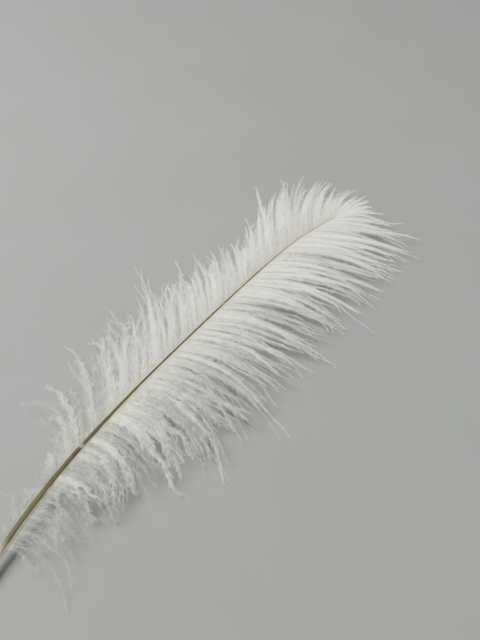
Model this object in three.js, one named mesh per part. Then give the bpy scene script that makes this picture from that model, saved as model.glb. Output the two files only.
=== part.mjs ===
// A white ostrich plume lying on a table with its underside down: one long tapering shaft, a loose
// vane of soft barbs along each side of it, and sparser down beside the bare quill.
// Millimetres, +Z up. The quill's end is at the low X end and the tip tuft at the high X end.

import * as THREE from 'three';

// ---- Driving dimensions ----

// The line that the shaft follows: quill end, arched middle, end of the shaft, end of the tip tuft.
const CENTRELINE = [
  [0, -13, 2.2],
  [43, 0, 7.5],
  [100, 9, 12],
  [175, 13, 15.5],
  [255, 14, 15.5],
  [333, 14, 13],
  [386, 11, 10.5],
  [441, -1, 6.5],
  [472, -17, 3],
];

// Distances along that line where something starts or ends.
const DOWN_START = 54;
const VANE_START = 90;
const VANE_GAP = 1;
const SHAFT_END = 446;

// Shaft diameter against distance from the quill's end.
const SHAFT_WIDTH = profile([[0, 3.4], [14, 4.8], [32, 5.8], [60, 5.5], [105, 5], [160, 3.9], [215, 3.1],
  [310, 1.9], [395, 0.9], [SHAFT_END, 0.4]]);
const QUILL_HOLE_RADIUS = 0.8;
const QUILL_HOLE_DEPTH = 5;
const QUILL_RIM_RADIUS = 1.3;
const QUILL_BEVEL = 2;
const SHAFT_SIDES = 12;
const SHAFT_STEP = 10;

// How far the barbs reach in plan, and the angle from the shaft's line at which they get there.
const RIGHT = {
  sign: -1,
  reach: profile([[DOWN_START, 20], [VANE_START, 36], [128, 54], [170, 78], [213, 99], [260, 106],
    [310, 104], [362, 100], [400, 92], [412, 86], [425, 64], [436, 43], [SHAFT_END, 30]]),
  sweep: profile([[DOWN_START, 92], [VANE_START, 92], [150, 87], [213, 80], [260, 72], [362, 64],
    [412, 53], [425, 42], [436, 26], [SHAFT_END, 2]]),
};
const LEFT = {
  sign: 1,
  reach: profile([[DOWN_START, 16], [VANE_START, 38], [128, 58], [175, 84], [222, 102], [262, 84],
    [310, 78], [350, 90], [390, 80], [412, 62], [425, 54], [436, 41], [SHAFT_END, 30]]),
  sweep: profile([[DOWN_START, 62], [VANE_START, 68], [128, 72], [175, 62], [262, 54], [350, 47],
    [412, 41], [425, 32], [436, 20], [SHAFT_END, 2]]),
};
const ROOT_ANGLE = profile([[DOWN_START, 46], [395, 42], [430, 22], [SHAFT_END, 1]]);
const ROOT_STIFFNESS = 0.5;
const SHAFT_CLEARANCE = 0.3;

// Heights of a vane across its width: it lifts from the shaft, arches over and lies flat at its rim.
const BARB_LIFT = profile([[DOWN_START, 6], [150, 15], [360, 15], [SHAFT_END, 3]]);
const ROOT_THICKNESS = 3;
const MIDDLE_THICKNESS = 7;
const RIM_THICKNESS = 3;
const RIM_FROM = 0.84;

const shaftMaterial = new THREE.MeshStandardMaterial({ color: '#8b8153', roughness: 0.45, metalness: 0 });
const vaneMaterial = new THREE.MeshStandardMaterial({ color: '#f1efe8', roughness: 0.95, metalness: 0 });
const downMaterial = new THREE.MeshStandardMaterial({ color: '#e4e2db', roughness: 1, metalness: 0 });

// ---- The shaft's line ----

// A value that changes along the feather, straight between the stations given.
function profile(stations) {
  const places = stations.map((station) => station[0]);
  const values = stations.map((station) => station[1]);
  const steps = new THREE.LinearInterpolant(places, values, 1);
  return (place) => steps.evaluate(place)[0];
}

const centreline = new THREE.CatmullRomCurve3(CENTRELINE.map((point) => new THREE.Vector3(...point)));
const centrelineLength = centreline.getLength();

// Point, level heading, left-hand side and the direction square to both, at a distance from the quill's end.
function frameAt(distance) {
  const along = THREE.MathUtils.clamp(distance / centrelineLength, 0, 1);
  const point = centreline.getPointAt(along);
  const tangent = centreline.getTangentAt(along);
  const side = new THREE.Vector3(-tangent.y, tangent.x, 0).normalize();
  const heading = new THREE.Vector3(side.y, -side.x, 0);
  const up = new THREE.Vector3().crossVectors(tangent, side);
  return { point, heading, side, up };
}

// ---- Shaft: quill and rachis in one piece of keratin ----

// A turned profile, with the small hole of the quill's end, bent along the centreline.
function shaftGeometry() {
  const outline = [
    new THREE.Vector2(0, QUILL_HOLE_DEPTH),
    new THREE.Vector2(QUILL_HOLE_RADIUS, QUILL_HOLE_DEPTH - QUILL_HOLE_RADIUS),
    new THREE.Vector2(QUILL_HOLE_RADIUS, 0),
    new THREE.Vector2(QUILL_RIM_RADIUS, 0),
  ];
  for (let place = QUILL_BEVEL; place < SHAFT_END; place += SHAFT_STEP) {
    outline.push(new THREE.Vector2(SHAFT_WIDTH(place) / 2, place));
  }
  outline.push(new THREE.Vector2(0, SHAFT_END));
  const geometry = new THREE.LatheGeometry(outline, SHAFT_SIDES);
  return bend(geometry, (x, y, z) => {
    const { point, side, up } = frameAt(y);
    return point.addScaledVector(side, -x).addScaledVector(up, z);
  });
}

// Moves every vertex of a geometry to where the given rule puts it.
function bend(geometry, rule) {
  const positions = geometry.getAttribute('position');
  for (let i = 0; i < positions.count; i += 1) {
    const place = rule(positions.getX(i), positions.getY(i), positions.getZ(i));
    positions.setXYZ(i, place.x, place.y, place.z);
  }
  geometry.computeVertexNormals();
  return geometry;
}

// ---- Vanes and down: solids that the barbs fill out to their tips ----

// The path of one barb's middle, from the shaft's side out to its drooping tip.
function barbPath(station, vane) {
  const { point, heading, side } = frameAt(station);
  const root = point.clone();
  root.addScaledVector(side, vane.sign * (SHAFT_WIDTH(station) / 2 + SHAFT_CLEARANCE));
  const reach = vane.reach(station);
  const towards = (degrees, length, height) => {
    const angle = THREE.MathUtils.degToRad(degrees);
    const end = root.clone();
    end.addScaledVector(heading, Math.cos(angle) * length);
    end.addScaledVector(side, vane.sign * Math.sin(angle) * length);
    return end.setZ(height);
  };
  const shoulder = towards(ROOT_ANGLE(station), reach * ROOT_STIFFNESS, root.z + BARB_LIFT(station));
  const tip = towards(vane.sweep(station), reach, RIM_THICKNESS / 2);
  return new THREE.QuadraticBezierCurve3(root, shoulder, tip);
}

// Lowest and highest point of the vane's section at a share of the way out along a barb.
function heights(middle, share) {
  const base = THREE.MathUtils.lerp(ROOT_THICKNESS, RIM_THICKNESS, share);
  const swell = (MIDDLE_THICKNESS - base) * Math.sin(Math.PI * share);
  const half = (base + swell) / 2;
  const low = share > RIM_FROM ? 0 : Math.max(0, middle - half);
  return { low, high: Math.max(middle + half, low + RIM_THICKNESS) };
}

// A divided box laid across the barbs between two stations: length along the shaft, width out to
// the tips, and its two faces shaped to the section's lowest and highest points.
function vaneGeometry(vane, start, end, ribs, bands) {
  const geometry = new THREE.BoxGeometry(1, 1, 1, ribs, bands, 1);
  return bend(geometry, (x, y, z) => {
    const station = THREE.MathUtils.lerp(start, end, x + 0.5);
    const share = vane.sign * y + 0.5;
    const place = barbPath(station, vane).getPoint(share);
    const { low, high } = heights(place.z, share);
    return place.setZ(z > 0 ? high : low);
  });
}

// ---- Assembly ----

function piece(name, geometry, material) {
  const mesh = new THREE.Mesh(geometry, material);
  mesh.name = name;
  return mesh;
}

const VANE_RIBS = 36;
const VANE_BANDS = 7;
const DOWN_RIBS = 5;
const DOWN_BANDS = 7;
const downEnd = VANE_START - VANE_GAP;

const feather = new THREE.Group();
feather.add(piece('shaft', shaftGeometry(), shaftMaterial));
for (const [name, vane] of [['left', LEFT], ['right', RIGHT]]) {
  const barbs = vaneGeometry(vane, VANE_START, SHAFT_END, VANE_RIBS, VANE_BANDS);
  const down = vaneGeometry(vane, DOWN_START, downEnd, DOWN_RIBS, DOWN_BANDS);
  feather.add(piece(`vane_${name}`, barbs, vaneMaterial));
  feather.add(piece(`down_${name}`, down, downMaterial));
}

// The origin is the middle of the feather's footprint, on the table.
const box = new THREE.Box3().setFromObject(feather);
const middle = box.getCenter(new THREE.Vector3());
feather.position.set(-middle.x, -middle.y, -box.min.z);

export default feather;
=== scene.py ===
import math

import bpy
import numpy as np
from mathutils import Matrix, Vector


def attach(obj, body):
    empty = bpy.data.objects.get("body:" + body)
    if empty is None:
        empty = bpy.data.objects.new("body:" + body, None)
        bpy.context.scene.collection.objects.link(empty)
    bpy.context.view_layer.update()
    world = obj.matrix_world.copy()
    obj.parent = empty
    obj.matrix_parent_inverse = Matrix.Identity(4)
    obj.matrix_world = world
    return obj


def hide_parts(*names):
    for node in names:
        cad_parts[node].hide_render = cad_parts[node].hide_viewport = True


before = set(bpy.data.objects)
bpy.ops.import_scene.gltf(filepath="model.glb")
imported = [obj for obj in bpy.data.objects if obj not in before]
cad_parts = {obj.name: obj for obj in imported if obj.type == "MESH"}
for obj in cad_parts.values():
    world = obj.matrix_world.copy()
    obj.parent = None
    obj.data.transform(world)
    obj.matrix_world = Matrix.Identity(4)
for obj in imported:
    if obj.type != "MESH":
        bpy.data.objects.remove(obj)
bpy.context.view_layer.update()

# ---------------------------------------------------------------------------------------------
# Camera: looks down along the feather from beyond its quill, over the right-hand vane. The end of
# the quill is just out of view.
# ---------------------------------------------------------------------------------------------
CAMERA_AIM = Vector((0.0518, -0.0062, 0.0))
CAMERA_DISTANCE = 0.519
CAMERA_AZIMUTH = math.radians(-50.5)
CAMERA_ELEVATION = math.radians(55)
CAMERA_LENS = 35
CAMERA_NEAREST = 0.01


def place_camera():
    """The camera stands at its distance and angles from the aim, and turns to face it."""
    level = math.cos(CAMERA_ELEVATION)
    back = Vector((
        math.sin(CAMERA_AZIMUTH) * level,
        -math.cos(CAMERA_AZIMUTH) * level,
        math.sin(CAMERA_ELEVATION),
    ))
    camera = bpy.data.objects.new("camera", bpy.data.cameras.new("camera"))
    camera.data.lens = CAMERA_LENS
    camera.data.clip_start = CAMERA_NEAREST
    camera.location = CAMERA_AIM + back * CAMERA_DISTANCE
    camera.rotation_euler = back.to_track_quat("Z", "Y").to_euler()
    bpy.context.collection.objects.link(camera)
    bpy.context.scene.camera = camera


place_camera()

# ---------------------------------------------------------------------------------------------
# Shaft: the quill and the rachis are one tapering piece of keratin. The bare quill is pale horn,
# and the rachis has an olive-brown back between two cream edges that the barbs grow from. Its
# underside has the long groove that every rachis has.
# ---------------------------------------------------------------------------------------------
MM = 0.001

# The rings of the CAD shaft are further apart than this, but for those of the quill's hole and rim.
# Of these only the points of the rim are used, which lie within its depth.
RING_GAP = 3 * MM
RIM_DEPTH = 1.2 * MM

# Steps of the line between two of those rings. A finer shaft is swept along it: its number of sides,
# the distance between its rings and the place of the first one past the rim.
LINE_STEPS = 10
SHAFT_SIDES = 24
SHAFT_STEP = 2 * MM
FIRST_RING = 2 * MM
# The hole and the rim: distance from the quill's end and radius in mm, from the hole's bottom on.
QUILL_RIM = ((5.0, 0.0), (4.2, 0.8), (0.4, 0.8), (0.0, 0.95), (0.0, 1.2), (0.5, 1.55), (1.2, 1.75))

# Between these two places the round quill turns into the flatter, squarer, grooved rachis.
QUILL_END = 55 * MM
RACHIS_START = 75 * MM
SHAFT_FLATNESS = 0.12
SHAFT_SQUARENESS = 0.3
GROOVE_DEPTH = 0.35
GROOVE_WIDTH = 0.35
GROOVE_ANGLE = 1.5 * math.pi

# Colours of the horn, each as (position, colour) stops.
OLIVE = ((0.1, (0.032, 0.042, 0.006)), (0.5, (0.030, 0.034, 0.007)), (0.9, (0.038, 0.023, 0.013)))
UMBER = (0.066, 0.050, 0.030, 1)
TAN = ((0.1, (0.36, 0.30, 0.18)), (0.9, (0.56, 0.51, 0.36)))
CREAM = ((0.1, (0.64, 0.58, 0.42)), (0.9, (0.86, 0.83, 0.70)))
IVORY = ((0.1, (0.50, 0.43, 0.27)), (0.9, (0.66, 0.60, 0.45)))
# The brown back above the quill, by distance from the quill's end in mm. It has one growth mark,
# which is red-brown with a pale bar beyond it. Then the length in mm that these colours are spread
# over, and how far they cover the olive.
LOW_BACK = (
    (56, (0.056, 0.050, 0.028)), (66, (0.050, 0.044, 0.023)), (86, (0.042, 0.041, 0.017)),
    (100, (0.037, 0.032, 0.013)), (118, (0.038, 0.028, 0.014)), (121, (0.036, 0.017, 0.012)),
    (126.4, (0.034, 0.016, 0.012)), (128, (0.16, 0.15, 0.10)), (131, (0.040, 0.032, 0.020)),
    (154, (0.026, 0.024, 0.014)),
)
LOW_BACK_SPAN = 200.0
LOW_BACK_STRENGTH = 0.85

# Where one colour gives way to the next, in mm from the quill's end.
HORN_TO_IVORY = (56.0, 22.0)
TAN_TO_CREAM = (90.0, 220.0)
BROWN_TO_OLIVE = (132.0, 172.0)
OLIVE_TO_UMBER = (210.0, 440.0)
# The dark band on the back narrows and then widens. Its widths at the quill, at the waist and at the
# tip, its soft edge and how uneven that is are shares of the rachis's width.
BAND_NARROWS = (140.0, 200.0)
BAND_WIDENS = (200.0, 330.0)
BAND_AT_QUILL = 0.86
BAND_AT_WAIST = 0.72
BAND_AT_TIP = 0.92
BAND_EDGE = (-0.05, 0.10)
BAND_UNEVENNESS = 0.08

# How fine the mottling and the streaks of the horn are, along it and across it.
GRAIN_FINENESS = (0.06, 2.5)
STREAK_FINENESS = (0.15, 14.0)
STREAK_RELIEF = 0.2 * MM


def shaft_rings():
    """Middle and half width of each ring of the CAD shaft, from the quill's end to the tip."""
    corners = np.array([v.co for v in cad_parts["shaft"].data.vertices])
    corners = np.unique(corners.round(6), axis=0)
    corners = corners[np.argsort(corners[:, 0])]
    rings = np.split(corners, np.flatnonzero(np.diff(corners[:, 0]) > RING_GAP) + 1)
    rings[0] = rings[0][rings[0][:, 0] < corners[0, 0] + RIM_DEPTH]
    middles = np.array([(ring.min(0) + ring.max(0)) / 2 for ring in rings])
    widths = np.array([np.ptp(ring[:, 2]) / 2 for ring in rings])
    return middles, widths


def smooth_line(points, steps):
    """A Catmull-Rom line through points, with a number of steps between each two of them."""
    last = len(points) - 1
    place = np.linspace(0, last, last * steps + 1)
    start = np.minimum(place.astype(int), last - 1)
    share = (place - start).reshape((-1,) + (1,) * (points.ndim - 1))
    before, near, far, after = (points[np.clip(start + k, 0, last)] for k in (-1, 0, 1, 2))
    cubic = 3 * (near - far) + after - before
    square = 2 * before - 5 * near + 4 * far - after
    return near + 0.5 * share * (far - before + share * (square + share * cubic))


ring_middles, ring_widths = shaft_rings()
line_points = smooth_line(ring_middles, LINE_STEPS)
line_widths = smooth_line(ring_widths, LINE_STEPS)
line_places = np.concatenate([[0], np.cumsum(np.linalg.norm(np.diff(line_points, axis=0), axis=1))])
line_slopes = np.gradient(line_points, line_places, axis=0)
SHAFT_LENGTH = line_places[-1]


def unit(vectors):
    """The same directions with a length of one."""
    return vectors / np.linalg.norm(vectors, axis=-1, keepdims=True)


def on_shaft(places):
    """Middle, heading, left-hand side and half width at distances from the quill's end."""
    middle = np.stack([np.interp(places, line_places, line_points[:, k]) for k in range(3)], axis=1)
    heading = unit(np.stack([np.interp(places, line_places, line_slopes[:, k]) for k in range(3)], axis=1))
    side = unit(np.stack([-heading[:, 1], heading[:, 0], np.zeros(len(places))], axis=1))
    return middle, heading, side, np.interp(places, line_places, line_widths)


def point_attribute(mesh, name, values):
    """Gives each point of a mesh its value."""
    mesh.attributes.new(name, "FLOAT", "POINT").data.foreach_set("value", np.asarray(values, np.float32))


def shaft_section(places):
    """Shape of the shaft at each place, across and above its middle, in half widths."""
    angle = np.linspace(0, 2 * math.pi, SHAFT_SIDES, endpoint=False)
    rachis = np.clip((places - QUILL_END) / (RACHIS_START - QUILL_END), 0, 1)[:, None]
    power = 1 - SHAFT_SQUARENESS * rachis
    across = np.sign(np.cos(angle)) * np.abs(np.cos(angle)) ** power
    above = np.sign(np.sin(angle)) * np.abs(np.sin(angle)) ** power
    groove = np.exp(-(((angle - GROOVE_ANGLE) / GROOVE_WIDTH) ** 2))
    return across, above * (1 - SHAFT_FLATNESS * rachis) * (1 - GROOVE_DEPTH * rachis * groove)


def shaft_piece():
    """Rings swept along the shaft's line, from the bottom of the quill's hole to the closed tip."""
    run = np.arange(FIRST_RING, SHAFT_LENGTH, SHAFT_STEP)
    places = np.concatenate([[place * MM for place, _ in QUILL_RIM], run, [SHAFT_LENGTH]])
    middle, heading, side, width = on_shaft(places)
    width[:len(QUILL_RIM)] = [radius * MM for _, radius in QUILL_RIM]
    width[-1] = 0
    width = width[:, None, None]
    up = np.cross(heading, side)
    across, above = shaft_section(places)
    sideways = side[:, None] * across[..., None] * width
    upward = up[:, None] * above[..., None] * width
    points = middle[:, None] + sideways + upward
    rings, sides = across.shape
    index = np.arange(rings * sides).reshape(rings, sides)
    behind, ahead = index[:-1], index[1:]
    faces = np.stack([behind, ahead, np.roll(ahead, -1, 1), np.roll(behind, -1, 1)], axis=-1)
    mesh = bpy.data.meshes.new("feather_shaft")
    mesh.from_pydata(points.reshape(-1, 3).tolist(), [], faces.reshape(-1, 4).tolist())
    mesh.polygons.foreach_set("use_smooth", [True] * len(mesh.polygons))
    point_attribute(mesh, "shaft_place", np.repeat(places / MM, sides))
    point_attribute(mesh, "shaft_across", across.ravel())
    point_attribute(mesh, "shaft_above", above.ravel())
    piece = bpy.data.objects.new("feather_shaft", mesh)
    bpy.context.collection.objects.link(piece)
    return piece


def add(tree, kind, inputs=None, **settings):
    """A node with its settings, and its inputs as values or as links from other nodes' sockets."""
    made = tree.nodes.new(kind)
    for name, value in settings.items():
        setattr(made, name, value)
    for key, value in (inputs or {}).items():
        if isinstance(value, bpy.types.NodeSocket):
            tree.links.new(value, made.inputs[key])
        else:
            made.inputs[key].default_value = value
    return made


def maths(tree, operation, *values):
    """One step of arithmetic."""
    return add(tree, "ShaderNodeMath", dict(enumerate(values)), operation=operation).outputs[0]


def combine(tree, x=0.0, y=0.0, z=0.0):
    """A vector of three values."""
    return add(tree, "ShaderNodeCombineXYZ", {0: x, 1: y, 2: z}).outputs[0]


def fade(tree, value, start, end, low=0.0, high=1.0, kind="LINEAR"):
    """Low where the value is at the start of a stretch, high at its end, and level outside it."""
    return add(tree, "ShaderNodeMapRange", {
        "Value": value, "From Min": start, "From Max": end, "To Min": low, "To Max": high,
    }, interpolation_type=kind).outputs[0]


def ramp(tree, factor, stops):
    """A colour ramp through (position, colour) stops."""
    made = add(tree, "ShaderNodeValToRGB", {0: factor})
    elements = made.color_ramp.elements
    while len(elements) < len(stops):
        elements.new(0.5)
    for element, (position, colour) in zip(elements, stops):
        element.position = position
        element.color = (*colour, 1)
    return made.outputs[0]


def blend(tree, factor, first, second, kind="MIX"):
    """Two colours mixed by a factor."""
    made = add(tree, "ShaderNodeMix", {0: factor, 6: first, 7: second}, data_type="RGBA", blend_type=kind)
    return made.outputs[2]


def attribute(tree, name):
    """A value that the piece's own points hold."""
    return add(tree, "ShaderNodeAttribute", attribute_name=name).outputs["Fac"]


def new_material(name):
    """An empty material, and its node tree."""
    material = bpy.data.materials.new(name)
    material.use_nodes = True
    material.node_tree.nodes.clear()
    return material, material.node_tree


def mottle_group():
    """Shader group: soft uneven patches between two values."""
    noise_span = (0.3, 0.7)
    tree = bpy.data.node_groups.new("mottle", "ShaderNodeTree")
    sockets = tree.interface
    sockets.new_socket("Place", in_out="INPUT", socket_type="NodeSocketVector")
    for name, value in (("Scale", 1.0), ("Detail", 4.0), ("Low", 0.0), ("High", 1.0)):
        sockets.new_socket(name, in_out="INPUT", socket_type="NodeSocketFloat").default_value = value
    sockets.new_socket("Value", in_out="OUTPUT", socket_type="NodeSocketFloat")
    given = tree.nodes.new("NodeGroupInput").outputs
    noise = add(tree, "ShaderNodeTexNoise", {
        "Vector": given["Place"], "Scale": given["Scale"], "Detail": given["Detail"],
    }).outputs[0]
    value = fade(tree, noise, *noise_span, given["Low"], given["High"], "SMOOTHSTEP")
    tree.links.new(value, tree.nodes.new("NodeGroupOutput").inputs[0])
    return tree


def mottle(tree, place, **values):
    """The mottle group in a material, with its own values."""
    return add(tree, "ShaderNodeGroup", {"Place": place, **values}, node_tree=mottling).outputs[0]


def horn_material():
    """Keratin: a mottled olive-brown back, cream edges, pale underside and ivory quill."""
    material, tree = new_material("horn")
    place = attribute(tree, "shaft_place")
    across = attribute(tree, "shaft_across")
    above = attribute(tree, "shaft_above")

    def spread_out(lengthways, crossways):
        x = maths(tree, "MULTIPLY", place, lengthways)
        return combine(tree, x, maths(tree, "MULTIPLY", across, crossways), above)

    grain = mottle(tree, spread_out(*GRAIN_FINENESS), Detail=5.0)
    streaks = mottle(tree, spread_out(*STREAK_FINENESS), Detail=3.0)

    back = blend(tree, fade(tree, place, *OLIVE_TO_UMBER), ramp(tree, grain, OLIVE), UMBER)
    low_place = maths(tree, "MULTIPLY", place, 1 / LOW_BACK_SPAN)
    low_back = ramp(tree, low_place, [(mm / LOW_BACK_SPAN, colour) for mm, colour in LOW_BACK])
    back = blend(tree, fade(tree, place, *BROWN_TO_OLIVE, LOW_BACK_STRENGTH, 0.0), back, low_back)
    past_quill = fade(tree, place, *TAN_TO_CREAM)
    edges = blend(tree, past_quill, ramp(tree, streaks, TAN), ramp(tree, streaks, CREAM))

    # The dark band of the back stops short of the edges, a little unevenly.
    narrowing = fade(tree, place, *BAND_NARROWS, BAND_AT_QUILL, BAND_AT_WAIST)
    width = fade(tree, place, *BAND_WIDENS, narrowing, BAND_AT_TIP)
    uneven_edge = maths(tree, "MULTIPLY", streaks, BAND_UNEVENNESS)
    reach = maths(tree, "ADD", maths(tree, "ABSOLUTE", across), uneven_edge)
    inside = fade(tree, maths(tree, "SUBTRACT", width, reach), *BAND_EDGE, kind="SMOOTHSTEP")
    on_back = maths(tree, "MULTIPLY", inside, maths(tree, "GREATER_THAN", above, 0.0))
    colour = blend(tree, on_back, edges, back)
    quill = fade(tree, place, *HORN_TO_IVORY, kind="SMOOTHSTEP")
    colour = blend(tree, quill, colour, ramp(tree, streaks, IVORY))

    bump = add(tree, "ShaderNodeBump", {
        "Height": streaks, "Strength": 0.25, "Distance": STREAK_RELIEF,
    }).outputs[0]
    gloss = fade(tree, streaks, 0.0, 1.0, 0.5, 0.75)
    skin = add(tree, "ShaderNodeBsdfPrincipled", {
        "Base Color": colour, "Roughness": gloss, "Normal": bump, "IOR": 1.54, "Specular IOR Level": 0.08,
    })
    add(tree, "ShaderNodeOutputMaterial", {"Surface": skin.outputs[0]})
    return material


mottling = mottle_group()
shaft = shaft_piece()
shaft.data.materials.append(horn_material())
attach(shaft, "root")
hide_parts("shaft")

# ---------------------------------------------------------------------------------------------
# Vanes: three to four hundred loose barbs of soft white keratin grow from each edge of the rachis.
# Every barb is a fine stem with two rows of barbules. Neighbours cling together in cords of a few
# barbs, and cords in tufts, which end in points.
# ---------------------------------------------------------------------------------------------
SIDE_SIGN = {"right": -1, "left": 1}
VANE_START = 89 * MM
VANE_PARTS = ("lower", "middle", "upper")
BARB_POINTS = 32
TABLE_CLEARANCE = 0.6 * MM
# Seeds for the barbs of the first side, and for the barbules, by side.
VANE_SEED = 20
VANE_GROWTH_SEEDS = {"left": 0, "right": 100}

# Each table goes by the distance from the quill's end in mm, and starts low enough for the down.
# Reach is in mm, and sweep and root angle are in degrees from the shaft's heading.
REACH = {
    "right": (
        (50, 30), (70, 38), (90, 41), (110, 42), (128, 49), (170, 73), (213, 89), (260, 94), (310, 95),
        (362, 96), (400, 91), (412, 84), (425, 66), (436, 46), (446, 33),
    ),
    "left": (
        (50, 7), (75, 9), (97, 10), (105, 26), (115, 48), (130, 66), (155, 79), (206, 84), (251, 70),
        (285, 63), (303, 57), (324, 60), (338, 79), (350, 92), (389, 86), (412, 66), (425, 57),
        (436, 43), (446, 33),
    ),
}
SWEEP = {
    "right": (
        (50, 104), (90, 100), (150, 92), (213, 82), (260, 71), (362, 62), (412, 53), (425, 42),
        (436, 26), (446, 2),
    ),
    "left": (
        (50, 66), (99, 65), (130, 60), (155, 56), (206, 50), (303, 46), (350, 43), (389, 39), (412, 35),
        (425, 27), (436, 16), (446, 2),
    ),
}
ROOT_ANGLE = {
    "right": ((54, 62), (110, 68), (200, 66), (260, 60), (330, 56), (395, 52), (430, 30), (446, 1)),
    "left": (
        (54, 40), (130, 40), (206, 45), (300, 45), (350, 51), (400, 55), (425, 46), (436, 30), (446, 1),
    ),
}
# Distance between two roots in mm, how far a root strays from its place as a share of it, and the
# step in mm at which roots are counted off.
BARB_PITCH = {
    "right": ((89, 1.4), (120, 1.1), (170, 0.9), (220, 0.85), (446, 0.85)),
    "left": ((89, 2.1), (120, 1.8), (170, 1.35), (230, 0.98), (446, 0.85)),
}
PITCH_SPREAD = 0.25
PITCH_STEP = 0.1
# Where a barb is rooted on the rachis, out from its middle and up, in half widths.
ROOT_OUT = 0.82
ROOT_UP = 0.45
# A barb arches towards a shoulder: the height of that over the root in mm, the usual share of this
# and the least of it, and how far out it lies, as a share of the reach.
BARB_LIFT = ((54, 5), (150, 10), (360, 10), (446, 3))
MEAN_LIFT = 0.9
LEAST_LIFT = 1.0 * MM
SHOULDER_OUT = 0.5
# Height of the tips over the table in mm: usual, lowest and highest.
TIP_HEIGHT = 2.6
TIP_LOWEST = 0.8
TIP_HIGHEST = 8.0

# How uneven all that is, from cord to cord and then from barb to barb. Reach and lift vary by shares.
REACH_SPREAD = (0.07, 0.035)
SWEEP_SPREAD = (4.0, 2.2)
ROOT_ANGLE_SPREAD = (3.0, 2.0)
LIFT_SPREAD = (0.4, 0.12)
TIP_HEIGHT_SPREAD = (1.8, 0.5)
# A single barb now and then strays far: the lower these numbers (degrees of freedom), the more
# often. In reach none strays by more than these multiples of the spread.
REACH_FREEDOM = 3
SWEEP_FREEDOM = 4
REACH_STRAYS = (-3, 5)

# How many barbs make a cord and how many cords a tuft, how closely each is drawn together, and over
# which shares of the barbs' length it closes. Down clings less, and loose barbs stay out of both.
CORD_SIZES = {"left": (1, 4), "right": (2, 4)}
CORD_PULL = {"left": (0.35, 0.88), "right": (0.40, 0.86)}
CORD_CLOSES = (0.0, 0.4)
TUFT_SIZES = (1, 3)
TUFT_PULL = (0.0, 0.4)
TUFT_CLOSES = (0.35, 1.0)
CLINGING = ((54, 0.7), (140, 0.85), (220, 1.0), (446, 1.0))
LOOSE_BARBS = {"left": 0.25, "right": 0.20}

# Size in mm of the curls, and of the finer crimp.
BARB_CURL = {
    "right": ((54, 4.0), (120, 3.4), (180, 3.0), (300, 2.6), (446, 1.5)),
    "left": ((54, 2.8), (90, 1.8), (112, 1.8), (132, 4.0), (200, 3.4), (300, 2.2), (446, 1.4)),
}
BARB_CRIMP = ((54, 0.9), (160, 0.6), (260, 0.35), (446, 0.25))
# Waves in the length of a cord, of a single barb and of its crimp, the share of the curl that a
# crisp barb takes by itself, what down adds to that, and the power at which waves grow outwards.
CORD_WAVES = 0.7
BARB_WAVES = 2.8
CRIMP_WAVES = 6.0
CRISP_CURL = 0.35
DOWN_CURL = 0.40
WAVE_GROWTH = 1.5
# Tips hook aside from this share of the length on, by multiples of the curl, and less up or down.
HOOK_START = 0.55
HOOK_RISE = 0.4
CORD_HOOK = 1.1
BARB_HOOK = 0.4
# Barbs are unequal: each keeps a share of its length between these two.
KEPT_LENGTHS = (0.74, 1.0)

# Barbs that have slipped out of the row: distance from the quill's end, reach and angle.
WISPS = {
    "right": ((184, 93, 98), (187, 95, 96), (190, 92, 93), (212, 84, 97), (215, 85, 94), (219, 82, 90)),
    "left": (
        (140, 92, 60), (158, 101, 47), (161, 96, 48), (208, 112, 53), (210, 106, 52), (214, 98, 52),
        (240, 97, 45), (243, 90, 46),
    ),
}
WISP_CURL = 2 * MM
WISP_WAVES = 1.5

# How downy the barbs are, from 0 for crisp to 1 for limp and cloudy.
BARB_DOWN = {
    "right": ((54, 1.0), (100, 0.85), (160, 0.5), (230, 0.1), (300, 0.0), (446, 0.0)),
    "left": ((54, 1.0), (100, 0.75), (160, 0.3), (220, 0.0), (446, 0.0)),
}
# Size of the barbules, and how much it differs from barb to barb.
BARB_FLUFF = {
    "right": ((50, 0.40), (90, 0.50), (130, 0.72), (180, 0.95), (446, 0.95)),
    "left": ((50, 0.42), (90, 0.55), (125, 0.80), (220, 0.85), (290, 0.95), (446, 0.95)),
}
FLUFF_RANGE = (0.75, 1.2)
# Tone of the barbs from 0 for grey to 1 for white, and its spread from cord to cord, with what down
# adds to it, and from barb to barb. The grey is painted shade: low tones darken the right vane, away
# from the light, and the lower feather, and the spreads also paint some shade between cords.
BARB_PAINTED_SHADE = {
    "right": ((50, 0.0), (110, 0.0), (150, 0.06), (200, 0.15), (300, 0.28), (380, 0.50), (446, 0.75)),
    "left": ((50, 0.0), (110, 0.0), (150, 0.15), (200, 0.45), (260, 0.70), (446, 0.85)),
}
CORD_TONES = 0.20
DOWN_TONES = 0.05
BARB_TONES = 0.12

# Thickness of a stem at its root, for a crisp barb and for down, and at any barb's tip, in shares
# of the full one.
STEM_AT_ROOT = (1.0, 0.6)
STEM_AT_TIP = 0.3
# Size of the barbules at a barb's root, at its tip and of the least of them, for a crisp barb and for
# down, in shares of the full size, which they have between two places on the barb.
BARBULES_AT_ROOT = (0.75, 1.0)
BARBULES_AT_TIP = (0.22, 0.8)
LEAST_BARBULE = (0.16, 0.5)
FULL_FROM = 0.3
FULL_TO = 0.4
# How much the lean of the barbules differs, and how far one slopes across its width.
LEAN_RANGE = (0.55, 1.6)
BARBULE_SLOPE = 0.6

# Colours of a barb from its root outwards, and its painted shade from grey to white.
ROOT_TO_WHITE = ((0.0, (0.88, 0.82, 0.66)), (0.07, (0.96, 0.94, 0.84)), (0.3, (0.98, 0.98, 0.93)))
PAINTED_SHADE_GREY_TO_WHITE = (
    (0.0, (0.42, 0.43, 0.40)), (0.25, (0.71, 0.72, 0.69)), (0.5, (0.93, 0.93, 0.91)),
    (0.8, (1.0, 1.0, 0.99)),
)
# How far patches move the tone up and down, how much painted light many layers of barbs add to it
# and up to which share of the length they lie so deep, and the share of the light that passes through.
PATCH_TONE = 0.12
DEEP_PAINTED_LIGHT = 0.4
DEEP_TO = 0.4
LIT_THROUGH = 0.35


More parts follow.
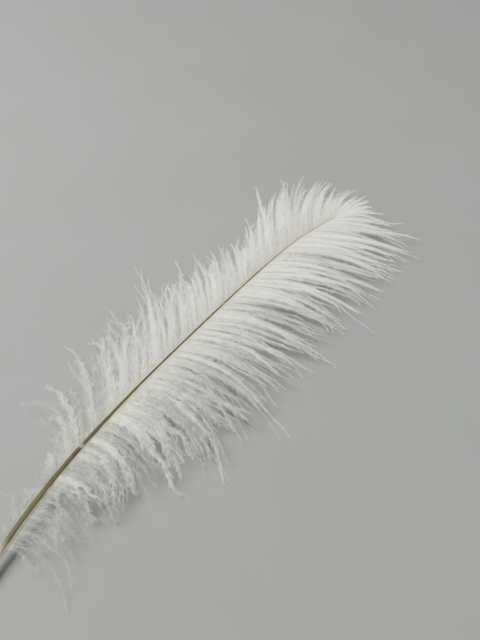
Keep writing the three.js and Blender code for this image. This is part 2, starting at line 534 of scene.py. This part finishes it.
def along(table, places):
    """Values of a (mm, value) table at places in metres."""
    stations, values = zip(*table)
    return np.interp(places / MM, stations, values)


def root_places(start, end, pitch, rng):
    """Distances from the quill's end where barbs are rooted, as far apart as the pitch table says."""
    stations = np.arange(start, end, PITCH_STEP * MM)
    number = np.cumsum(PITCH_STEP / along(pitch, stations))
    places = np.interp(np.arange(0, number[-1]), number, stations)
    return np.sort(places + rng.normal(0, PITCH_SPREAD, len(places)) * along(pitch, places) * MM)


def deal(count, sizes, rng):
    """Numbers neighbouring barbs, or cords, off into groups whose size lies between two limits."""
    lengths = rng.integers(sizes[0], sizes[1] + 1, count)
    return np.repeat(np.arange(count), lengths)[:count]


def shared(groups, rng, spread):
    """One random value for each group, given to all its members."""
    return rng.normal(0, spread, groups.max() + 1)[groups]


def uneven(cords, rng, by_cord, by_barb):
    """A random value for each barb: one part is its cord's and one part its own."""
    return shared(cords, rng, by_cord) + rng.normal(0, by_barb, len(cords))


def barb_paths(side, places, cords, rng, reach, sweep, unruly=1.0):
    """Points along each barb, from its root on the rachis to its tip: barbs x points x 3."""
    count = len(places)
    middle, heading, left, width = on_shaft(places)
    heading = unit(heading * (1, 1, 0))
    outward = left * SIDE_SIGN[side]
    root = middle + (outward * ROOT_OUT + np.array((0, 0, ROOT_UP))) * width[:, None]
    stray = shared(cords, rng, REACH_SPREAD[0])
    stray += rng.standard_t(REACH_FREEDOM, count).clip(*REACH_STRAYS) * REACH_SPREAD[1]
    reach = reach * MM * (1 + unruly * stray)
    stray = shared(cords, rng, SWEEP_SPREAD[0])
    stray += rng.standard_t(SWEEP_FREEDOM, count) * SWEEP_SPREAD[1]
    sweep = sweep + unruly * stray
    root_angle = along(ROOT_ANGLE[side], places) + unruly * uneven(cords, rng, *ROOT_ANGLE_SPREAD)
    lift = along(BARB_LIFT, places) * MM * (MEAN_LIFT + uneven(cords, rng, *LIFT_SPREAD))

    def towards(degrees, length):
        angle = np.radians(degrees)[:, None]
        return root + (heading * np.cos(angle) + outward * np.sin(angle)) * length[:, None]

    shoulder = towards(root_angle, reach * SHOULDER_OUT)
    shoulder[:, 2] += lift.clip(LEAST_LIFT)
    tip = towards(sweep, reach)
    tip[:, 2] = (TIP_HEIGHT + uneven(cords, rng, *TIP_HEIGHT_SPREAD)).clip(TIP_LOWEST, TIP_HIGHEST) * MM
    share = np.linspace(0, 1, BARB_POINTS)[None, :, None]
    rest = 1 - share
    return rest**2 * root[:, None] + 2 * share * rest * shoulder[:, None] + share**2 * tip[:, None]


def gather(paths, groups, pull, start, full):
    """Draws each group's barbs together between two shares of their length, by each barb's pull."""
    totals = np.zeros((groups.max() + 1,) + paths.shape[1:])
    np.add.at(totals, groups, paths)
    middles = totals / np.bincount(groups)[:, None, None]
    ease = np.clip((np.linspace(0, 1, paths.shape[1]) - start) / (full - start), 0, 1)
    weight = pull[:, None] * ease * ease * (3 - 2 * ease)
    return paths + weight[..., None] * (middles[groups] - paths)


def wave(paths, heights, waves, groups, rng):
    """Bends each group by a wave that grows from nothing at the root."""
    share = np.linspace(0, 1, paths.shape[1])[None, :, None]
    number = groups.max() + 1
    phase = rng.uniform(0, 2 * math.pi, (number, 1, 3))[groups]
    tall = rng.normal(0, 1, (number, 1, 3))[groups] * heights[:, None, None]
    return paths + tall * share**WAVE_GROWTH * (np.sin(2 * math.pi * waves * share + phase) - np.sin(phase))


def hook(paths, sizes, groups, rng):
    """Curls the last part of each barb aside, one way for each group."""
    late = np.clip((np.linspace(0, 1, paths.shape[1]) - HOOK_START) / (1 - HOOK_START), 0, 1)
    way = rng.normal(0, 1, (groups.max() + 1, 1, 3))[groups] * (1, 1, HOOK_RISE)
    return paths + late[None, :, None] ** 2 * way * sizes[:, None, None]


def trim(paths, shares):
    """Cuts each barb back to a share of its length, with the same number of points."""
    last = paths.shape[1] - 1
    place = np.linspace(0, 1, paths.shape[1])[None, :] * shares[:, None] * last
    start = np.minimum(place.astype(int), last - 1)
    part = (place - start)[..., None]
    rows = np.arange(len(paths))[:, None]
    return paths[rows, start] * (1 - part) + paths[rows, start + 1] * part


def add_wisps(side, wisps, places, paths, rng):
    """The row with its slipped barbs put in at their places, and the order that this took."""
    stations, reach, sweep = np.array(wisps, float).T
    single = np.arange(len(stations))
    slipped = barb_paths(side, stations * MM, single, rng, reach, sweep, unruly=0.0)
    slipped = wave(slipped, np.full(len(stations), WISP_CURL), WISP_WAVES, single, rng)
    places = np.concatenate([places, stations * MM])
    order = np.argsort(places)
    return places[order], np.concatenate([paths, slipped])[order], order


def lay_down(paths):
    """Lifts whatever hangs too low, so that the barbs lie on the table."""
    paths[:, :, 2] = np.maximum(paths[:, :, 2], TABLE_CLEARANCE)
    return paths


def barb_guides(name, paths, tones_and_shade, fluff, down):
    """One mesh of open edge runs, one run a barb, with what the growth and the material need of it."""
    count, points = paths.shape[:2]
    index = np.arange(count * points).reshape(count, points)
    edges = np.stack([index[:, :-1].ravel(), index[:, 1:].ravel()], axis=1)
    mesh = bpy.data.meshes.new(name)
    mesh.from_pydata(paths.reshape(-1, 3).tolist(), edges.tolist(), [])
    point_attribute(mesh, "barb_share", np.tile(np.linspace(0, 1, points), count))
    point_attribute(mesh, "barb_tone_and_shade", np.repeat(tones_and_shade, points))
    point_attribute(mesh, "barb_fluff", np.repeat(fluff, points))
    point_attribute(mesh, "barb_down", np.repeat(down, points))
    guides = bpy.data.objects.new(name, mesh)
    bpy.context.collection.objects.link(guides)
    return guides


def random_between(tree, low, high, seed, offset):
    """A random value for each barbule. Every use has an offset of its own, so that no two agree."""
    seed = add(tree, "FunctionNodeIntegerMath", {0: seed, 1: offset}, operation="ADD").outputs[0]
    inputs = {2: low, 3: high, "Seed": seed}
    return add(tree, "FunctionNodeRandomValue", inputs, data_type="FLOAT").outputs[1]


def carried(tree, name):
    """A value that the guides' points hold."""
    return add(tree, "GeometryNodeInputNamedAttribute", {"Name": name}, data_type="FLOAT").outputs[0]


def coordinates(tree):
    """The three coordinates of each point."""
    position = add(tree, "GeometryNodeInputPosition").outputs[0]
    return add(tree, "ShaderNodeSeparateXYZ", {0: position}).outputs


def barb_stems(tree, given, curves, share, down):
    """Stem: a three-sided rod that thins to a third of its full width at the tip."""
    thickness = fade(tree, share, 0.0, 1.0, fade(tree, down, 0.0, 1.0, *STEM_AT_ROOT), STEM_AT_TIP)
    outline = add(tree, "GeometryNodeCurvePrimitiveCircle", {
        "Resolution": 3, "Radius": given["Stem Radius"],
    }).outputs[0]
    return add(tree, "GeometryNodeCurveToMesh", {
        "Curve": curves, "Profile Curve": outline, "Scale": thickness,
    }).outputs[0]


def barbule_kite(tree, given):
    """Barbule: a square turned into a narrow kite, its root at the origin and bent sideways."""
    kite = add(tree, "GeometryNodeMeshCircle", {"Vertices": 4, "Radius": 1.0}, fill_type="NGON").outputs[0]
    corner = coordinates(tree)
    forward = maths(tree, "MULTIPLY_ADD", corner[0], 0.5, 0.5)
    bend = maths(tree, "MULTIPLY", maths(tree, "MULTIPLY", forward, forward), given["Barbule Bend"])
    across = maths(tree, "MULTIPLY", corner[1], maths(tree, "MULTIPLY", given["Barbule Width"], 0.5))
    length = given["Barbule Length"]
    sideways = maths(tree, "SUBTRACT", across, maths(tree, "MULTIPLY", bend, length))
    place = combine(tree, maths(tree, "MULTIPLY", forward, length), sideways,
                    maths(tree, "MULTIPLY", across, BARBULE_SLOPE))
    kite = add(tree, "GeometryNodeSetPosition", {"Geometry": kite, "Position": place}).outputs[0]
    return add(tree, "GeometryNodeTriangulate", {"Mesh": kite}, quad_method="SHORTEST_DIAGONAL").outputs[0]


def barbule_rows(tree, given, curves, share, down):
    """One barbule a step, on alternate sides, rolled a little out of the vane and leaning forward."""
    rows = add(tree, "GeometryNodeCurveToPoints", {
        "Curve": curves, "Length": given["Barbule Spacing"],
    }, mode="LENGTH").outputs
    turned = add(tree, "FunctionNodeAxesToRotation", {
        "Primary Axis": rows["Tangent"], "Secondary Axis": (0.0, 0.0, 1.0),
    }, primary_axis="X", secondary_axis="Z").outputs[0]
    index = add(tree, "GeometryNodeInputIndex").outputs[0]
    other_side = maths(tree, "MULTIPLY", maths(tree, "MODULO", index, 2.0), math.pi)
    seed = given["Seed"]
    tilt = maths(tree, "MULTIPLY", random_between(tree, -1.0, 1.0, seed, 0), given["Barbule Roll"])
    lean = maths(tree, "MULTIPLY", random_between(tree, *LEAN_RANGE, seed, 1), given["Barbule Lean"])
    for angles in (combine(tree, x=maths(tree, "ADD", other_side, tilt)), combine(tree, z=lean)):
        turn = add(tree, "FunctionNodeEulerToRotation", {0: angles}).outputs[0]
        turned = add(tree, "FunctionNodeRotateRotation", {
            0: turned, 1: turn,
        }, rotation_space="LOCAL").outputs[0]

    rise = fade(tree, share, 0.0, FULL_FROM, fade(tree, down, 0.0, 1.0, *BARBULES_AT_ROOT), 1.0)
    fall = fade(tree, share, FULL_TO, 1.0, 1.0, fade(tree, down, 0.0, 1.0, *BARBULES_AT_TIP))
    # Most barbules are short and stay near the stem, and a few reach far out.
    chance = maths(tree, "POWER", random_between(tree, 0.0, 1.0, seed, 2), 2.0)
    least = fade(tree, down, 0.0, 1.0, *LEAST_BARBULE)
    size = maths(tree, "MULTIPLY", maths(tree, "MULTIPLY", rise, fall), maths(tree, "ADD", chance, least))
    size = maths(tree, "MULTIPLY", size, carried(tree, "barb_fluff"))
    return add(tree, "GeometryNodeInstanceOnPoints", {
        "Points": rows["Points"], "Instance": barbule_kite(tree, given), "Rotation": turned,
        "Scale": combine(tree, size, size, 1.0),
    }).outputs[0]


def folded_up(tree, given, whole):
    """What would dip below the lowest height is folded up, so it lies on the table."""
    corner = coordinates(tree)
    above = maths(tree, "ABSOLUTE", maths(tree, "SUBTRACT", corner[2], given["Lowest"]))
    place = combine(tree, corner[0], corner[1], maths(tree, "ADD", above, given["Lowest"]))
    return add(tree, "GeometryNodeSetPosition", {"Geometry": whole, "Position": place}).outputs[0]


def barb_tree():
    """Geometry nodes that turn barb guides into stems with two rows of barbules."""
    tree = bpy.data.node_groups.new("barb_growth", "GeometryNodeTree")
    tree.is_modifier = True
    sockets = tree.interface
    sockets.new_socket("Geometry", in_out="INPUT", socket_type="NodeSocketGeometry")
    for name, kind, value in (
        ("Stem Radius", "NodeSocketFloat", 0.16 * MM),
        ("Barbule Spacing", "NodeSocketFloat", 0.16 * MM),
        ("Barbule Length", "NodeSocketFloat", 6.2 * MM),
        ("Barbule Width", "NodeSocketFloat", 0.18 * MM),
        ("Barbule Lean", "NodeSocketFloat", 0.75),
        ("Barbule Bend", "NodeSocketFloat", 0.3),
        ("Barbule Roll", "NodeSocketFloat", 0.9),
        ("Lowest", "NodeSocketFloat", 0.2 * MM),
        ("Seed", "NodeSocketInt", 1),
    ):
        sockets.new_socket(name, in_out="INPUT", socket_type=kind).default_value = value
    sockets.new_socket("Material", in_out="INPUT", socket_type="NodeSocketMaterial")
    sockets.new_socket("Geometry", in_out="OUTPUT", socket_type="NodeSocketGeometry")
    given = tree.nodes.new("NodeGroupInput").outputs

    curves = add(tree, "GeometryNodeMeshToCurve", {"Mesh": given["Geometry"]}).outputs[0]
    share = carried(tree, "barb_share")
    down = carried(tree, "barb_down")
    joined = tree.nodes.new("GeometryNodeJoinGeometry")
    tree.links.new(barbule_rows(tree, given, curves, share, down), joined.inputs[0])
    tree.links.new(barb_stems(tree, given, curves, share, down), joined.inputs[0])
    whole = add(tree, "GeometryNodeRealizeInstances", {"Geometry": joined.outputs[0]}).outputs[0]
    whole = folded_up(tree, given, whole)
    whole = add(tree, "GeometryNodeSetMaterial", {
        "Geometry": whole, "Material": given["Material"],
    }).outputs[0]
    tree.links.new(whole, tree.nodes.new("NodeGroupOutput").inputs[0])
    return tree


def grow(name, paths, tones_and_shade, fluff, down, sizes):
    """Grows barbs along the paths and leaves them as one plain mesh."""
    guides = barb_guides(name, paths, tones_and_shade, fluff, down)
    modifier = guides.modifiers.new("growth", "NODES")
    modifier.node_group = barb_growth
    sockets = {s.name: s.identifier for s in barb_growth.interface.items_tree if s.in_out == "INPUT"}
    for socket, value in {**sizes, "Material": white_barbs}.items():
        modifier[sockets[socket]] = value
    evaluated = guides.evaluated_get(bpy.context.evaluated_depsgraph_get())
    mesh = bpy.data.meshes.new_from_object(evaluated)
    bpy.data.objects.remove(guides)
    piece = bpy.data.objects.new(name, mesh)
    bpy.context.collection.objects.link(piece)
    return piece


def barb_material():
    """Soft white keratin: lit through from behind, creamy at the roots, uneven from barb to barb, greyed by
    painted shade and brightened by painted light where it lies deep.
    """
    material, tree = new_material("white_barbs")
    share = attribute(tree, "barb_share")
    place = add(tree, "ShaderNodeTexCoord").outputs["Object"]
    patches = mottle(tree, place, Scale=160.0, Detail=3.0, Low=-PATCH_TONE, High=PATCH_TONE)
    # Painted light: barbs are made brighter where they lie many layers deep, near the rachis of the
    # upper feather.
    painted_layer_light = fade(tree, share, 0.0, DEEP_TO, DEEP_PAINTED_LIGHT, 0.0)
    crisp = fade(tree, attribute(tree, "barb_down"), 0.0, 1.0, 1.0, 0.0)
    tone = maths(tree, "MULTIPLY_ADD", painted_layer_light, crisp, attribute(tree, "barb_tone_and_shade"))
    # Painted shade: low tones turn the white barbs grey.
    painted_shade = ramp(tree, maths(tree, "ADD", tone, patches), PAINTED_SHADE_GREY_TO_WHITE)
    colour = blend(tree, 1.0, ramp(tree, share, ROOT_TO_WHITE), painted_shade, "MULTIPLY")
    gloss = mottle(tree, place, Scale=400.0, Low=0.55, High=0.8)
    skin = add(tree, "ShaderNodeBsdfPrincipled", {"Base Color": colour, "Roughness": gloss})
    glow = add(tree, "ShaderNodeBsdfTranslucent", {"Color": colour})
    mixed = add(tree, "ShaderNodeMixShader", {0: LIT_THROUGH, 1: skin.outputs[0], 2: glow.outputs[0]})
    add(tree, "ShaderNodeOutputMaterial", {"Surface": mixed.outputs[0]})
    return material


barb_growth = barb_tree()
white_barbs = barb_material()

for number, side in enumerate(("left", "right")):
    rng = np.random.default_rng(VANE_SEED + number)
    places = root_places(VANE_START, SHAFT_LENGTH, BARB_PITCH[side], rng)
    cords = deal(len(places), CORD_SIZES[side], rng)
    tufts = deal(cords.max() + 1, TUFT_SIZES, rng)[cords]
    paths = barb_paths(side, places, cords, rng, along(REACH[side], places), along(SWEEP[side], places))

    # What the barbs of a cord, and the cords of a tuft, do together.
    curl = along(BARB_CURL[side], places) * MM
    paths = wave(paths, curl, CORD_WAVES, cords, rng)
    loyal = rng.random(len(places)) > LOOSE_BARBS[side]
    hold = along(CLINGING, places) * loyal
    cord_pull = rng.uniform(*CORD_PULL[side], cords.max() + 1)[cords]
    paths = gather(paths, cords, cord_pull * hold, *CORD_CLOSES)
    tuft_pull = rng.uniform(*TUFT_PULL, tufts.max() + 1)[tufts]
    paths = gather(paths, tufts, tuft_pull * hold, *TUFT_CLOSES)
    paths = hook(paths, curl * CORD_HOOK, cords, rng)

    # What each barb does by itself.
    single = np.arange(len(places))
    down = along(BARB_DOWN[side], places)
    paths = wave(paths, curl * (CRISP_CURL + DOWN_CURL * down), BARB_WAVES, single, rng)
    paths = wave(paths, along(BARB_CRIMP, places) * MM, CRIMP_WAVES, single, rng)
    paths = hook(paths, curl * BARB_HOOK, single, rng)
    paths = trim(paths, rng.uniform(*KEPT_LENGTHS, len(places)))

    # The slipped barbs, each a cord of its own.
    places, paths, order = add_wisps(side, WISPS[side], places, paths, rng)
    cords = np.concatenate([cords, cords.max() + 1 + np.arange(len(WISPS[side]))])[order]
    paths = lay_down(paths)

    down = along(BARB_DOWN[side], places)
    # Painted shade: the tone table greys the right vane and the lower feather, and the spreads vary it from
    # cord to cord and barb to barb.
    patchy = shared(cords, rng, 1.0) * (CORD_TONES + DOWN_TONES * down)
    patchy += rng.normal(0, BARB_TONES, len(places))
    tones_and_shade = np.clip(along(BARB_PAINTED_SHADE[side], places) + patchy, 0, 1)
    fluff = along(BARB_FLUFF[side], places) * rng.uniform(*FLUFF_RANGE, len(places))
    for part, chosen in zip(VANE_PARTS, np.array_split(np.arange(len(places)), len(VANE_PARTS))):
        piece = grow(f"{side}_vane_{part}", paths[chosen], tones_and_shade[chosen], fluff[chosen], down[chosen],
                     {"Seed": VANE_GROWTH_SEEDS[side] + int(chosen[0])})
        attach(piece, "root")
        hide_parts(f"vane_{side}")

# ---------------------------------------------------------------------------------------------
# Down: the same kind of barbs, but short, sparse and curly and with long limp barbules, so the table
# shows through them. They grow from the top of the quill to beneath the start of the vanes. One or
# two on each side have slipped out of the row.
# ---------------------------------------------------------------------------------------------
DOWN_START = {"left": 56 * MM, "right": 48 * MM}
DOWN_END = 120 * MM
# Seeds for the barbs and for the barbules of the first side.
DOWN_SEED = 40
DOWN_GROWTH_SEED = 50
# Distance between two roots in mm, barbs out of the row, and how much more uneven these barbs are.
DOWN_PITCH = {"left": ((56, 1.8), (120, 3.0)), "right": ((48, 1.3), (120, 2.6))}
DOWN_WISPS = {"left": ((66, 26, 60),), "right": ((50, 62, 103), (60, 50, 97))}
DOWN_UNRULINESS = 2.5
# Shares of the curl that go into a barb's waves and its hooked tip, and waves in its length.
DOWN_WAVE = 0.7
DOWN_HOOK = 1.5
DOWN_WAVES = 1.3
# Barbs in a cord, how closely they are drawn together, and over which shares of their length.
DOWN_CORD_SIZES = (1, 3)
DOWN_PULL = 0.5
DOWN_CLOSES = (0.2, 1.0)
# From barb to barb: the share of the length that is kept, the size of the barbules and the tone, which
# greys the down with painted shade.
DOWN_LENGTHS = (0.5, 1.0)
DOWN_FLUFF_RANGE = (0.8, 1.3)
DOWN_SHADE_RANGE = (-0.1, 0.25)
DOWN_SIZES = {
    "Stem Radius": 0.09 * MM,
    "Barbule Spacing": 0.20 * MM,
    "Barbule Length": 9.5 * MM,
    "Barbule Width": 0.10 * MM,
    "Barbule Lean": 0.9,
    "Barbule Bend": 0.5,
    "Barbule Roll": 1.3,
}

for number, side in enumerate(("left", "right")):
    rng = np.random.default_rng(DOWN_SEED + number)
    places = root_places(DOWN_START[side], DOWN_END, DOWN_PITCH[side], rng)
    single = np.arange(len(places))
    cords = deal(len(places), DOWN_CORD_SIZES, rng)
    reach = along(REACH[side], places)
    sweep = along(SWEEP[side], places)
    paths = barb_paths(side, places, cords, rng, reach, sweep, DOWN_UNRULINESS)
    curl = along(BARB_CURL[side], places) * MM
    paths = wave(paths, curl * DOWN_WAVE, DOWN_WAVES, single, rng)
    paths = gather(paths, cords, np.full(len(places), DOWN_PULL), *DOWN_CLOSES)
    paths = hook(paths, curl * DOWN_HOOK, single, rng)
    paths = trim(paths, rng.uniform(*DOWN_LENGTHS, len(places)))
    places, paths, _ = add_wisps(side, DOWN_WISPS[side], places, paths, rng)
    paths = lay_down(paths)
    fluff = along(BARB_FLUFF[side], places) * rng.uniform(*DOWN_FLUFF_RANGE, len(places))
    # Painted shade: the down's low tones grey it.
    tones_and_shade = rng.uniform(*DOWN_SHADE_RANGE, len(places))
    piece = grow(f"{side}_down", paths, tones_and_shade, fluff, along(BARB_DOWN[side], places),
                 {"Seed": DOWN_GROWTH_SEED + number, **DOWN_SIZES})
    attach(piece, "root")
    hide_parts(f"down_{side}")

# ---------------------------------------------------------------------------------------------
# Floor and light: a plain pale floor. A broad soft light from beyond the left vane reaches all of
# it, and a lamp on the same side, with a weak one opposite, makes the light fall off a little.
# ---------------------------------------------------------------------------------------------
FLOOR_HALF = 12.0
PAPER = ((0.0, (0.124, 0.127, 0.123)), (1.0, (0.131, 0.133, 0.130)))
LAMP_COLOUR = (0.97, 1.0, 0.96)
LIGHT_SIDE = Vector((-0.15, 0.60, 0.70))
WEAK_SIDE = Vector((-0.5, -0.8, 1.2))
SUN_STRENGTH = 7.0
SUN_BREADTH = math.radians(36)
LAMP_WATTS = 15
LAMP_SIZE = 0.6
WEAK_WATTS = 12
WEAK_SIZE = 1.0
ROOM_COLOUR = (0.93, 0.96, 1.0, 1)
ROOM_STRENGTH = 0.5


def floor_piece():
    """One flat square under the feather."""
    square = [(x * FLOOR_HALF, y * FLOOR_HALF, 0) for x, y in ((-1, -1), (1, -1), (1, 1), (-1, 1))]
    mesh = bpy.data.meshes.new("floor")
    mesh.from_pydata(square, [], [(0, 1, 2, 3)])
    floor = bpy.data.objects.new("floor", mesh)
    bpy.context.collection.objects.link(floor)
    return floor


def floor_material():
    """Smooth pale paper with the faintest unevenness."""
    material, tree = new_material("pale_paper")
    place = add(tree, "ShaderNodeTexCoord").outputs["Object"]
    colour = ramp(tree, mottle(tree, place, Scale=9.0, Detail=5.0), PAPER)
    skin = add(tree, "ShaderNodeBsdfPrincipled", {
        "Base Color": colour, "Roughness": 0.8, "Specular IOR Level": 0.3,
    })
    add(tree, "ShaderNodeOutputMaterial", {"Surface": skin.outputs[0]})
    return material


def lamp(kind, place, energy, **settings):
    """A light at a place, turned to face the middle of the feather."""
    light = bpy.data.lights.new("lamp", kind)
    light.energy = energy
    light.color = LAMP_COLOUR
    for name, value in settings.items():
        setattr(light, name, value)
    holder = bpy.data.objects.new("lamp", light)
    holder.location = place
    holder.rotation_euler = place.to_track_quat("Z", "Y").to_euler()
    bpy.context.collection.objects.link(holder)


floor_piece().data.materials.append(floor_material())
lamp("SUN", LIGHT_SIDE, SUN_STRENGTH, angle=SUN_BREADTH)
lamp("AREA", LIGHT_SIDE, LAMP_WATTS, shape="DISK", size=LAMP_SIZE)
lamp("AREA", WEAK_SIDE, WEAK_WATTS, shape="DISK", size=WEAK_SIZE)

world = bpy.data.worlds.new("room")
world.use_nodes = True
world.node_tree.nodes["Background"].inputs["Color"].default_value = ROOM_COLOUR
world.node_tree.nodes["Background"].inputs["Strength"].default_value = ROOM_STRENGTH
bpy.context.scene.world = world
